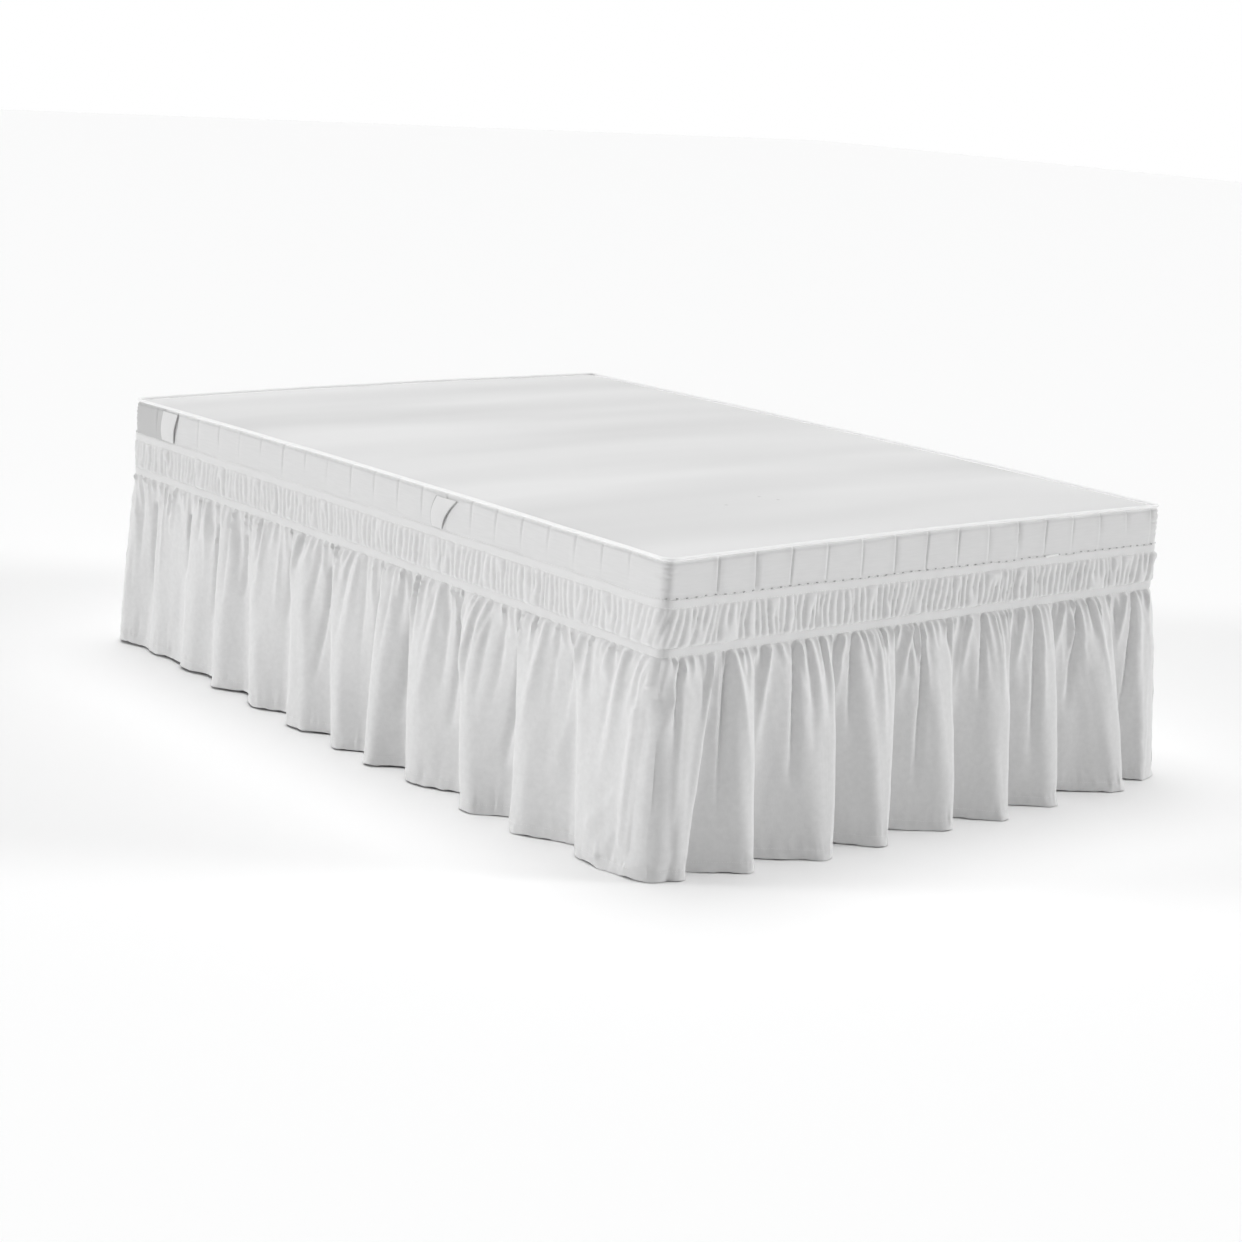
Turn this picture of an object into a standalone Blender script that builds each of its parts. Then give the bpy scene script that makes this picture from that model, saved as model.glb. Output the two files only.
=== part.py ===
"""A wrap-around gathered bed skirt, fitted on a full-size mattress and its plain base.

The skirt is one elastic belt round the mattress: two elastic bands with a shirred heading
between them, and a gathered drop below, cut in four lengths that are seamed at the corners.
The drop falls from the lower band to just above the floor in deep, uneven folds.

Metres, +Z up. The origin is on the floor under the middle of the bed. X runs across the bed,
Y along it, and the foot end faces -Y.
"""

import math
from collections import namedtuple

import bmesh
import bpy
from mathutils import Vector

# Bed
BED_WIDTH = 1.370
BED_LENGTH = 1.905
BED_HEIGHT = 0.587
CORNER_RADIUS = 0.030
MATTRESS_THICKNESS = 0.200
PIPING_RADIUS = 0.004
TOP_EDGE_RADIUS = 0.012
BOTTOM_EDGE_RADIUS = 0.020
BASE_INSET = 0.012
FOOT_HEIGHT = 0.040
FOOT_RADIUS = 0.035
GAP = 0.0003

# Skirt belt: heights above the floor
UPPER_BAND_TOP = 0.5033
CORNER_RISE = 0.009
LOWER_BAND_TOP = 0.4235
BAND_WIDTH = 0.0175
BAND_THICKNESS = 0.0018
EDGE_UNDER_BAND = 0.0080
HEM_HEIGHT = 0.003
HEM_RISE = 0.014

# Skirt cloth: distances outside the mattress's side
CLOTH_THICKNESS = 0.0015
CLOTH_OUT = 0.0023
BAND_OUT = CLOTH_OUT + 2 * GAP + BAND_THICKNESS
HEADING_OUT = 0.0046
HEADING_SWING = 0.0021
HEADING_COLUMNS = 68
DROP_PUFF = 0.0036
DROP_SWING = 0.0028

# Handles on the mattress border
HANDLE_WIDTH = 0.056
HANDLE_THICKNESS = 0.0020
HANDLE_BOW = 0.020
HANDLE_TOP = 0.573
HANDLE_PLACES = (0.348, 0.914)

# The drop's folds on one side of the bed, from one corner to the next. A valley lies
# `valley_at` along the side and `valley_out` outside the mattress at the hem; the crest that
# follows it has its middle at `crest_at` and is `crest_width` broad.
Fold = namedtuple("Fold", "valley_at valley_out crest_at crest_out crest_width")

FOOT_FOLDS = (
    Fold(-0.590, 0.012, -0.500, 0.072, 0.022),
    Fold(-0.462, 0.010, -0.318, 0.094, 0.030),
    Fold(-0.262, 0.012, -0.168, 0.092, 0.026),
    Fold(-0.108, 0.010, 0.020, 0.090, 0.024),
    Fold(0.068, 0.018, 0.170, 0.100, 0.028),
    Fold(0.222, 0.014, 0.336, 0.084, 0.026),
    Fold(0.398, 0.008, 0.545, 0.086, 0.030),
    Fold(0.604, 0.010, 0.655, 0.062, 0.014),
)
LEFT_FOLDS = (
    Fold(-0.862, 0.002, -0.808, 0.020, 0.034),
    Fold(-0.716, 0.002, -0.646, 0.029, 0.030),
    Fold(-0.566, 0.002, -0.495, 0.043, 0.030),
    Fold(-0.406, 0.002, -0.321, 0.052, 0.032),
    Fold(-0.238, 0.004, -0.139, 0.059, 0.056),
    Fold(-0.052, 0.010, 0.021, 0.062, 0.026),
    Fold(0.086, 0.014, 0.151, 0.066, 0.024),
    Fold(0.222, 0.002, 0.310, 0.061, 0.030),
    Fold(0.416, 0.004, 0.500, 0.072, 0.028),
    Fold(0.582, 0.005, 0.652, 0.063, 0.028),
    Fold(0.757, 0.004, 0.838, 0.053, 0.074),
)

# How far outside the mattress the hem hangs at the four corner seams
FRONT_LEFT_OUT = 0.016
FRONT_RIGHT_OUT = 0.052
BACK_RIGHT_OUT = 0.036
BACK_LEFT_OUT = 0.034
SEAM_FLAT = 0.010
TURN_STEP = 0.0079

# The drop from its seam down to its hem: `swell` is the share of the hem's folds that has
# opened at that height, and `gather` the share of the small gathers that is left.
Level = namedtuple("Level", "height swell gather")

LOWER_BAND_BOTTOM = LOWER_BAND_TOP - BAND_WIDTH
DROP_LEVELS = (
    Level(HEM_HEIGHT, 1.00, 0.0),
    Level(0.210, 0.62, 0.0),
    Level(0.325, 0.33, 0.5),
    Level(0.382, 0.13, 1.0),
    Level(LOWER_BAND_BOTTOM - 0.001, 0.0, 0.0),
    Level(LOWER_BAND_TOP - EDGE_UNDER_BAND - 0.002, 0.0, 0.0),
)

# One side of the bed. Seen from outside the bed, `along` runs to the right.
Side = namedtuple("Side", "name along half_length face folds left_out right_out")


def mirrored(folds):
    """The same folds met from the other end of a side: each valley keeps its own crest."""
    return tuple(
        Fold(-f.valley_at, f.valley_out, -f.crest_at, f.crest_out, f.crest_width)
        for f in reversed(folds)
    )


SIDES = (
    Side("foot", Vector((1, 0)), BED_WIDTH / 2, BED_LENGTH / 2,
         FOOT_FOLDS, FRONT_LEFT_OUT, FRONT_RIGHT_OUT),
    Side("right", Vector((0, 1)), BED_LENGTH / 2, BED_WIDTH / 2,
         mirrored(LEFT_FOLDS), FRONT_RIGHT_OUT, BACK_RIGHT_OUT),
    Side("head", Vector((-1, 0)), BED_WIDTH / 2, BED_LENGTH / 2,
         mirrored(FOOT_FOLDS), BACK_RIGHT_OUT, BACK_LEFT_OUT),
    Side("left", Vector((0, -1)), BED_LENGTH / 2, BED_WIDTH / 2,
         LEFT_FOLDS, BACK_LEFT_OUT, FRONT_LEFT_OUT),
)
HALF_TURN_LENGTH = CORNER_RADIUS * math.pi / 4


def seam_at(side):
    """Where a side's length of cloth ends: the middle of the corner's turn."""
    return side.half_length - CORNER_RADIUS + HALF_TURN_LENGTH


def plan_point(side, at, out):
    """The plan position `at` along a side and `out` from the mattress, round its corners too."""
    straight = side.half_length - CORNER_RADIUS
    along = max(-straight, min(straight, at))
    turn = (at - along) / CORNER_RADIUS
    outward = Vector((side.along.y, -side.along.x))
    centre = side.along * along + outward * (side.face - CORNER_RADIUS)
    direction = outward * math.cos(turn) + side.along * math.sin(turn)
    return centre + direction * (CORNER_RADIUS + out)


def round_corners(points, passes):
    """Cuts every corner of a line at a quarter of its two sides, and keeps the line's ends."""
    for _ in range(passes):
        cut = [points[0]]
        for start, end in zip(points, points[1:]):
            cut.append(start.lerp(end, 0.25))
            cut.append(start.lerp(end, 0.75))
        points = cut + [points[-1]]
    return points


def refine_turns(line, straight):
    """Adds points where a line goes round a corner, so that it follows the turn closely."""
    refined = [line[0]]
    for start, end in zip(line, line[1:]):
        turns = max(abs(start.x), abs(end.x)) > straight
        steps = math.ceil((end.x - start.x) / TURN_STEP) if turns else 1
        refined += [start.lerp(end, step / steps) for step in range(1, steps + 1)]
    return refined


def hem_line(side):
    """The hem seen from above, as (along, out) points from one corner seam to the next."""
    end = seam_at(side)
    line = [Vector((-end, side.left_out)), Vector((-end + SEAM_FLAT, side.left_out))]
    for fold in side.folds:
        half = math.copysign(fold.crest_width / 2, fold.crest_at - fold.valley_at)
        corners = [
            Vector((fold.valley_at, fold.valley_out)),
            Vector((fold.crest_at - half, fold.crest_out)),
            Vector((fold.crest_at + half, fold.crest_out)),
        ]
        line += corners if half > 0 else reversed(corners)
    line += [Vector((end - SEAM_FLAT, side.right_out)), Vector((end, side.right_out))]
    return refine_turns(round_corners(line, 1), side.half_length - CORNER_RADIUS)


def leftward(point):
    """0 at the right side of the bed, growing to 1 at its left side."""
    return max(0.0, min(1.0, (BED_WIDTH / 2 - point.x) / BED_WIDTH))


def footward(point):
    """0 at the head end of the bed, growing to 1 at its foot end."""
    return max(0.0, min(1.0, (BED_LENGTH / 2 - point.y) / BED_LENGTH))


def band_rise(point):
    """How much higher the upper band rides there: most at the front left corner."""
    return CORNER_RISE * leftward(point) * footward(point)


def hem_rise(point):
    """How much higher the hem hangs there: most at the back left corner."""
    return HEM_RISE * leftward(point) * (1 - footward(point))


def girth(out, straight_steps, turn_steps=4):
    """Plan points once round the bed, `out` from the mattress, closer together at corners."""
    points = []
    for side in SIDES:
        straight = side.half_length - CORNER_RADIUS
        turn = [HALF_TURN_LENGTH * step / turn_steps for step in range(turn_steps + 1)]
        places = [-straight - t for t in reversed(turn)]
        places += [-straight + 2 * straight * s / straight_steps for s in range(1, straight_steps)]
        places += [straight + t for t in turn[:-1]]
        points += [plan_point(side, at, out) for at in places]
    return points


# Making objects


def finish_material(name, colour, roughness):
    material = bpy.data.materials.new(name)
    material.use_nodes = True
    shader = material.node_tree.nodes["Principled BSDF"]
    shader.inputs["Base Color"].default_value = (*colour, 1.0)
    shader.inputs["Roughness"].default_value = roughness
    shader.inputs["Metallic"].default_value = 0.0
    material.diffuse_color = (*colour, 1.0)
    return material


def add_object(name, data, material, collection):
    part = bpy.data.objects.new(name, data)
    part.data.materials.append(material)
    collection.objects.link(part)
    return part


def cloth_sheet(name, columns, rows, place, thickness, material, collection, closed=False):
    """A flat length of cloth, draped by `place(column, row)`, with its thickness on the inside.

    Columns run to the right along the bed's side and rows run up. A closed one is a loop.
    """
    mesh = bpy.data.meshes.new(name)
    cloth = bmesh.new()
    across = columns if closed else columns - 1
    bmesh.ops.create_grid(cloth, x_segments=across, y_segments=rows - 1, size=0.5)
    for vertex in cloth.verts:
        column = round((vertex.co.x + 0.5) * across)
        row = round((vertex.co.y + 0.5) * (rows - 1))
        vertex.co = place(column % columns, row)
    if closed:
        bmesh.ops.remove_doubles(cloth, verts=cloth.verts, dist=0.00001)
    cloth.to_mesh(mesh)
    cloth.free()
    sheet = add_object(name, mesh, material, collection)
    solidify = sheet.modifiers.new("thickness", "SOLIDIFY")
    solidify.thickness = thickness
    solidify.offset = -1.0
    return sheet


def rounded_block(name, width, length, bottom, top, corner, edges, material, collection):
    """A block with round upright corners; `edges` are its bottom and top edge radii."""
    mesh = bpy.data.meshes.new(name)
    block = bmesh.new()
    bmesh.ops.create_cube(block, size=1.0)
    for vertex in block.verts:
        height = top if vertex.co.z > 0 else bottom
        vertex.co = (vertex.co.x * width, vertex.co.y * length, height)
    upright = [e for e in block.edges if abs(e.verts[0].co.z - e.verts[1].co.z) > GAP]
    bmesh.ops.bevel(block, geom=upright, offset=corner, segments=8, profile=0.5, affect="EDGES")
    for level, radius in zip((bottom, top), edges):
        rim = [e for e in block.edges if all(abs(v.co.z - level) < GAP for v in e.verts)]
        bmesh.ops.bevel(block, geom=rim, offset=radius, segments=4, profile=0.5, affect="EDGES")
    block.to_mesh(mesh)
    block.free()
    mesh.shade_smooth()
    mesh.set_sharp_from_angle(angle=math.radians(35))
    return add_object(name, mesh, material, collection)


# The bed


def make_mattress(material, collection):
    """The mattress, its top panel just under the top of the piping."""
    top = BED_HEIGHT - PIPING_RADIUS + 0.0005
    return rounded_block(
        "mattress", BED_WIDTH, BED_LENGTH, BED_HEIGHT - MATTRESS_THICKNESS, top,
        CORNER_RADIUS, (BOTTOM_EDGE_RADIUS, TOP_EDGE_RADIUS), material, collection,
    )


def make_piping(material, collection):
    """The corded piping that closes the mattress's top edge, seated on its rounding."""
    seat = (TOP_EDGE_RADIUS + PIPING_RADIUS + 2 * GAP) / math.sqrt(2) - TOP_EDGE_RADIUS
    curve = bpy.data.curves.new("piping", "CURVE")
    curve.dimensions = "3D"
    curve.bevel_depth = PIPING_RADIUS
    curve.bevel_resolution = 2
    points = girth(seat, 1)
    spline = curve.splines.new("POLY")
    spline.points.add(len(points) - 1)
    spline.use_cyclic_u = True
    for spot, point in zip(spline.points, points):
        spot.co = (point.x, point.y, BED_HEIGHT - PIPING_RADIUS, 1.0)
    return add_object("piping", curve, material, collection)


def make_handles(material, collection):
    """Two upright cloth handles on each long side, sewn at both ends and bowed between them."""
    for side in SIDES:
        if side.name not in ("left", "right"):
            continue
        toward_foot = 1 if side.name == "left" else -1
        for number, place in enumerate(HANDLE_PLACES, start=1):
            middle = toward_foot * side.half_length * (1 - 2 * place)
            make_handle(f"handle_{side.name}_{number}", side, middle, material, collection)


def make_handle(name, side, middle, material, collection):
    rows = 7
    low = UPPER_BAND_TOP + 0.002 + band_rise(plan_point(side, middle, 0.0))
    seated = HANDLE_THICKNESS + GAP

    def place(column, row):
        share = row / (rows - 1)
        out = seated + HANDLE_BOW * math.sin(math.pi * share)
        point = plan_point(side, middle + (column - 0.5) * HANDLE_WIDTH, out)
        return (*point, low + (HANDLE_TOP - low) * share)

    cloth_sheet(name, 2, rows, place, HANDLE_THICKNESS, material, collection)


def make_base(cover, dark, collection):
    """The plain upholstered base under the mattress, on six low round feet."""
    top = BED_HEIGHT - MATTRESS_THICKNESS - GAP
    width = BED_WIDTH - 2 * BASE_INSET
    length = BED_LENGTH - 2 * BASE_INSET
    rounded_block("base", width, length, FOOT_HEIGHT, top,
                  CORNER_RADIUS - BASE_INSET, (0.006, 0.006), cover, collection)
    number = 0
    for x in (-1, 1):
        for y in (-1, 0, 1):
            number += 1
            place = (x * (width / 2 - 0.120), y * (length / 2 - 0.120))
            make_foot(f"base_foot_{number}", place, dark, collection)


def make_foot(name, place, material, collection):
    height = FOOT_HEIGHT - GAP
    mesh = bpy.data.meshes.new(name)
    foot = bmesh.new()
    bmesh.ops.create_cone(foot, cap_ends=True, segments=32, radius1=FOOT_RADIUS - 0.004,
                          radius2=FOOT_RADIUS, depth=height)
    foot.to_mesh(mesh)
    foot.free()
    part = add_object(name, mesh, material, collection)
    part.location = (*place, height / 2)


# The skirt


def make_band(name, bottom, rises, material, collection):
    """A flat woven elastic round the mattress, over the edges of the cloth it holds."""
    points = girth(BAND_OUT, 2)

    def place(column, row):
        point = points[column]
        lift = band_rise(point) if rises else 0.0
        return (*point, bottom + lift + row * BAND_WIDTH)

    cloth_sheet(name, len(points), 2, place, BAND_THICKNESS, material, collection, closed=True)


def make_heading(material, collection):
    """The shirred strip, sewn edge to edge between the two bands, in upright gathers."""
    full = girth(HEADING_OUT + HEADING_SWING, HEADING_COLUMNS)
    drawn = girth(HEADING_OUT - HEADING_SWING, HEADING_COLUMNS)
    low = LOWER_BAND_TOP + GAP
    high = UPPER_BAND_TOP - BAND_WIDTH - GAP

    def place(column, row):
        point = full[column] if column % 2 else drawn[column]
        lift = high + band_rise(drawn[column]) if row else low
        return (*point, lift)

    cloth_sheet("heading", len(full), 2, place, CLOTH_THICKNESS, material, collection,
                closed=True)


def make_drop(side, material, collection):
    """One side's length of the gathered drop, from the lower band to the hem."""
    hem = hem_line(side)

    def place(column, row):
        level = DROP_LEVELS[row]
        at, hem_out = hem[column]
        from_seam = min(column, len(hem) - 1 - column)
        if from_seam == 0:
            at -= math.copysign(GAP, at)
        swing = 0.0 if from_seam < 2 else DROP_SWING * (-1) ** column
        out = CLOTH_OUT + level.swell * (hem_out - CLOTH_OUT)
        out += level.gather * (DROP_PUFF + swing)
        point = plan_point(side, at, out)
        return (*point, level.height + level.swell * hem_rise(point))

    cloth_sheet(f"drop_{side.name}", len(hem), len(DROP_LEVELS), place, CLOTH_THICKNESS,
                material, collection)


def main():
    for leftover in list(bpy.data.objects):
        bpy.data.objects.remove(leftover)
    collection = bpy.data.collections.new("bed_skirt_on_mattress")
    bpy.context.scene.collection.children.link(collection)

    ticking = finish_material("ticking", (0.80, 0.80, 0.80), 0.85)
    cord = finish_material("piping_cord", (0.90, 0.90, 0.90), 0.70)
    webbing = finish_material("handle_webbing", (0.86, 0.86, 0.86), 0.75)
    elastic = finish_material("elastic", (0.86, 0.86, 0.86), 0.70)
    microfibre = finish_material("skirt_cloth", (0.84, 0.84, 0.84), 0.80)
    cover = finish_material("base_cover", (0.70, 0.70, 0.69), 0.90)
    dark = finish_material("foot_plastic", (0.05, 0.05, 0.05), 0.50)

    make_mattress(ticking, collection)
    make_piping(cord, collection)
    make_handles(webbing, collection)
    make_base(cover, dark, collection)
    make_band("upper_band", UPPER_BAND_TOP - BAND_WIDTH, True, elastic, collection)
    make_band("lower_band", LOWER_BAND_BOTTOM, False, elastic, collection)
    make_heading(microfibre, collection)
    for side in SIDES:
        make_drop(side, microfibre, collection)


main()
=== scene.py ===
"""The finished look of a wrap-around gathered bed skirt on its mattress and base.

Metres, +Z up. The origin is on the floor under the middle of the bed, and the foot end faces -Y.
Places along a side run to the right as the side is looked at, from 0 in its middle.
"""

import math
from collections import namedtuple

import bpy
import numpy as np
from mathutils import Matrix, Vector


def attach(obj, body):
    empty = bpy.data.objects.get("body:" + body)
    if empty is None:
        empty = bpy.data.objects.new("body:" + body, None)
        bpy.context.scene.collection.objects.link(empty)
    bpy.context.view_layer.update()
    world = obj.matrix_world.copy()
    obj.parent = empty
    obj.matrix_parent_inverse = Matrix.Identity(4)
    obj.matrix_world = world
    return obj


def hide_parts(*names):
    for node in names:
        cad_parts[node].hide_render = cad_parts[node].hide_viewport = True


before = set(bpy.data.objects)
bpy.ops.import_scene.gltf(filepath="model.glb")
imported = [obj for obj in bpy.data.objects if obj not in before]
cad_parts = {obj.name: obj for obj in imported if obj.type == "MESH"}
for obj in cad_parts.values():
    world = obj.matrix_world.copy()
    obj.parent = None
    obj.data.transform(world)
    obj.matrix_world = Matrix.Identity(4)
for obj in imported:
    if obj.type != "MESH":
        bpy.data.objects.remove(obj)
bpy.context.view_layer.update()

# Bed: its size, how its top edge rises along the sides and at the head end, and its piping
BED_WIDTH = 1.370
BED_LENGTH = 1.905
BED_HEIGHT = 0.587
CORNER_RADIUS = 0.018
MATTRESS_BOTTOM = 0.387
EDGE_CROWN = 0.0045
HEAD_RISE = 0.0015
HEAD_RIGHT_RISE = 0.0055
TOP_CROWN = 0.0045
BLOCK_INSET = 0.003
PIPING_RADIUS = 0.0033
PIPING_STEP = 0.012
PIPING_SIDES = 14

# Border of the mattress: how far it bulges and may stand out, and its tucks. The long sides'
# tucks are weaker and shorter by the two shares.
BORDER_THICKNESS = 0.0016
BELLY = 0.0022
BELLY_HEIGHT = 0.095
BORDER_LIMIT = 0.0024
BORDER_AT_BAND = 0.0027
TUCK_PITCH = 0.0925
TUCK_CREEP = 0.0042
FIRST_TUCK = -0.568
TUCK_REACH = 0.125
TUCK_RIDGE = 0.0016
TUCK_DEPTH = 0.0032
LONG_SIDE_TUCKS = (0.50, 0.70)

# Skirt belt: the bands' heights above the floor, the upper band's rise towards the front left
# corner, and where a short span of brighter stitches starts and stops along the foot side
UPPER_BAND_TOP = 0.5033
LOWER_BAND_TOP = 0.4235
CORNER_RISE = 0.009
BAND_WIDTH = 0.0175
BAND_THICKNESS = 0.0017
UPPER_BAND_BOTTOM = UPPER_BAND_TOP - BAND_WIDTH
LOWER_BAND_BOTTOM = LOWER_BAND_TOP - BAND_WIDTH
BRIGHT_SPAN = (0.318, 0.362)

# Hem: its height, the lowest it sags, its rise towards the head end's left corner and its
# depth, with the drop's cut height and the gap that the inner face keeps above the floor
HEM_HEIGHT = 0.0010
HEM_LOWEST = 0.0012
HEM_RISE = 0.005
HEM_DEPTH = 0.022
FLOOR_GAP = 0.0002

# Skirt cloth: thicknesses, and distances outside the mattress's side
CLOTH_THICKNESS = 0.0013
HEM_EXTRA = 0.0011
CLOTH_OUT = 0.0022
BAND_OUT = 0.0042
DROP_COLUMNS = 540
BACK_COLUMNS = 420

# Gathers just under the band: how far down they reach, and how common each reach is
GATHER_PITCH = 0.0188
GATHER_REACHES = (0.040, 0.06, 0.09, 0.14, 0.20)
GATHER_CHANCES = (0.25, 0.3, 0.23, 0.15, 0.07)
GATHER_HEIGHTS = (0.0062, 0.0108)
GATHER_WIDTHS = (0.0038, 0.0054)

# Shirred heading: its ribs, its distance outside the mattress's side, and its cut cloth
RIB_PITCH = 0.0152
RIB_HEIGHTS = (0.0054, 0.0082)
RIB_WIDTH = 0.0054
RIB_STEP = 0.0027
LONG_SIDE_RIBS = 0.82
HEADING_OUT = 0.0030
HEADING_THICKNESS = 0.0012
HEADING_FULLNESS = 1.35

# Small marks on the mattress's top: places, and how far the grey reaches from each
SPOTS = ((-0.258, -0.629, 0), (-0.123, -0.633, 0), (-0.139, -0.595, 0))
SPOT_REACH = 0.0050
SPOT_CORE = 0.0010

# Handles: how far along the side from its foot end, how much each narrows and how far it slants
HANDLES = ((0.348, 0.48, 0.028), (0.914, 0.18, 0.010))
HANDLE_WIDTH = 0.070
HANDLE_TOP = 0.573
HANDLE_BOW = 0.0035
HANDLE_OUT = 0.0040
HANDLE_THICKNESS = 0.0019

# Threads' shades
WHITE_THREAD = 0.83
BRIGHT_THREAD = 0.92
# Painted shadow: the grey of the dashes along the belt's top edge
SHADOW_DASH_GREY = 0.42

# Camera and light
CAMERA_PLACE = (-3.3855, -3.9956, 1.4377)
CAMERA_YAW = math.radians(-40.522)
CAMERA_PITCH = math.radians(13.380)
CAMERA_ROLL = math.radians(3.775)
LENS = 69.28
FLOOR_REACH = 30
ROOM_LIGHT = 0.12

# Each fold's valley and crest at the hem, and where its valley and the crest's two bends
# start under the band
Fold = namedtuple(
    "Fold", "valley_at valley_out crest_at crest_out crest_width valley_top inner_top outer_top"
)
FOOT_FOLDS = (
    Fold(-0.663, 0.034, -0.640, 0.045, 0.026, -0.662, -0.640, -0.572),
    Fold(-0.617, 0.000, -0.500, 0.076, 0.022, -0.556, -0.530, -0.477),
    Fold(-0.462, 0.006, -0.318, 0.094, 0.030, -0.462, -0.366, -0.287),
    Fold(-0.262, 0.008, -0.168, 0.092, 0.026, -0.270, -0.214, -0.110),
    Fold(-0.108, 0.010, 0.020, 0.090, 0.024, -0.095, -0.022, 0.050),
    Fold(0.068, 0.018, 0.170, 0.100, 0.028, 0.064, 0.148, 0.210),
    Fold(0.222, 0.014, 0.336, 0.084, 0.026, 0.224, 0.300, 0.342),
    Fold(0.398, 0.008, 0.545, 0.086, 0.030, 0.358, 0.436, 0.520),
    Fold(0.604, 0.010, 0.655, 0.062, 0.014, 0.536, 0.616, 0.642),
)
LEFT_FOLDS = (
    Fold(-0.862, 0.002, -0.808, 0.020, 0.034, -0.850, -0.832, -0.790),
    Fold(-0.716, 0.002, -0.646, 0.029, 0.030, -0.690, -0.672, -0.630),
    Fold(-0.566, -0.002, -0.495, 0.043, 0.030, -0.562, -0.545, -0.505),
    Fold(-0.406, -0.003, -0.321, 0.052, 0.032, -0.443, -0.425, -0.385),
    Fold(-0.238, -0.003, -0.139, 0.059, 0.056, -0.262, -0.243, -0.190),
    Fold(-0.052, 0.000, 0.021, 0.062, 0.026, -0.107, -0.088, -0.045),
    Fold(0.086, 0.006, 0.151, 0.066, 0.024, 0.084, 0.102, 0.140),
    Fold(0.208, -0.004, 0.292, 0.061, 0.030, 0.183, 0.202, 0.244),
    Fold(0.406, -0.004, 0.489, 0.072, 0.028, 0.355, 0.375, 0.420),
    Fold(0.566, -0.003, 0.635, 0.063, 0.028, 0.538, 0.558, 0.602),
    Fold(0.757, -0.003, 0.838, 0.047, 0.074, 0.708, 0.728, 0.800),
)
# How far the hem stands out at each corner, how much cloth lies flat beside a seam, the depth
# of the folds' middle line as a share of the drop, and how early the folds swell on the way down
FRONT_LEFT_OUT = 0.034
FRONT_RIGHT_OUT = 0.052
BACK_RIGHT_OUT = 0.036
BACK_LEFT_OUT = 0.034
SEAM_FLAT = 0.010
MIDDLE_DEPTH = 0.62
SWELL = 0.60

# Pleats that run a long way down out of the gathers: where each starts at the band and ends
Pleat = namedtuple("Pleat", "top_at end_at reach height width")
FOOT_PLEATS = (
    Pleat(-0.430, -0.468, 0.250, 0.0130, 0.0070),
    Pleat(-0.240, -0.268, 0.190, 0.0110, 0.0065),
    Pleat(-0.056, -0.100, 0.200, 0.0120, 0.0065),
    Pleat(0.110, 0.080, 0.130, 0.0130, 0.0065),
    Pleat(0.266, 0.234, 0.160, 0.0130, 0.0065),
    Pleat(0.392, 0.366, 0.150, 0.0130, 0.0065),
    Pleat(0.590, 0.562, 0.150, 0.0120, 0.0065),
    Pleat(-0.330, -0.322, 0.170, 0.0090, 0.0065),
    Pleat(-0.522, -0.492, 0.260, 0.0100, 0.0075),
    Pleat(-0.568, -0.624, 0.330, 0.0120, 0.0065),
    Pleat(-0.160, -0.160, 0.240, 0.0090, 0.0065),
    Pleat(0.185, 0.176, 0.210, 0.0080, 0.0065),
    Pleat(0.478, 0.520, 0.230, 0.0100, 0.0070),
)
LEFT_PLEATS = (
    Pleat(0.742, 0.700, 0.300, 0.0125, 0.0090),
    Pleat(0.868, 0.845, 0.260, 0.0130, 0.0080),
    Pleat(0.428, 0.400, 0.220, 0.0115, 0.0070),
    Pleat(0.636, 0.615, 0.240, 0.0115, 0.0080),
    Pleat(0.300, 0.285, 0.260, 0.0115, 0.0080),
    Pleat(0.015, 0.000, 0.200, 0.0110, 0.0075),
    Pleat(-0.215, -0.240, 0.240, 0.0110, 0.0080),
    Pleat(-0.350, -0.365, 0.220, 0.0110, 0.0075),
    Pleat(-0.600, -0.605, 0.220, 0.0100, 0.0070),
)

# Creases across the border at each corner: how far below the piping, how deep, where its middle
# is past the corner, and how far it reaches
CORNER_CREASES = (
    (0.012, 0.0022, 0.004, 0.012),
    (0.021, 0.0016, -0.010, 0.015),
    (0.030, 0.0026, 0.010, 0.018),
    (0.038, 0.0015, 0.000, 0.011),
    (0.051, 0.0014, 0.006, 0.013),
)

# Wrinkles over the drop's corners: from one place to another, each as how far past the seam and
# how far below the band, then how high and how wide
CORNER_WRINKLES = (
    ((-0.026, 0.000), (-0.034, 0.085), 0.0046, 0.0050),
    ((-0.009, 0.000), (-0.014, 0.050), 0.0040, 0.0045),
    ((0.007, 0.000), (0.000, 0.065), 0.0044, 0.0048),
    ((0.023, 0.000), (0.016, 0.080), 0.0046, 0.0048),
    ((0.044, 0.010), (0.006, 0.125), 0.0050, 0.0060),
    ((-0.014, 0.050), (-0.046, 0.125), 0.0030, 0.0060),
    ((-0.036, 0.105), (-0.040, 0.340), 0.0050, 0.0095),
    ((0.028, 0.110), (0.020, 0.290), 0.0030, 0.0090),
    ((-0.010, 0.080), (-0.014, 0.360), -0.0030, 0.0060),
    ((-0.068, 0.275), (-0.115, 0.335), 0.0045, 0.0095),
    ((-0.060, 0.350), (-0.098, 0.392), 0.0040, 0.0085),
    ((0.018, 0.355), (-0.020, 0.392), 0.0040, 0.0080),
    ((-0.040, 0.300), (-0.062, 0.392), -0.0030, 0.0085),
)
# How much of them each corner has, from the front left one round to the right
CORNER_SHARES = (1.0, 0.25, 0.6, 0.35)

# Soft waves in the drop's cloth: how far each leans, its cells along and down the cloth, its
# height all over and close to the band, and its seed
Wave = namedtuple("Wave", "lean along down height by_band seed")
CLOTH_WAVES = (
    Wave(0.0, 0.050, 0.150, 0.0032, 0.0, 3),
    Wave(0.0, 0.021, 0.075, 0.0008, 0.0010, 4),
    Wave(0.5, 0.030, 0.035, 0.0010, 0.0, 5),
    Wave(-0.25, 0.012, 0.110, 0.0, 0.0010, 13),
)
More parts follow.
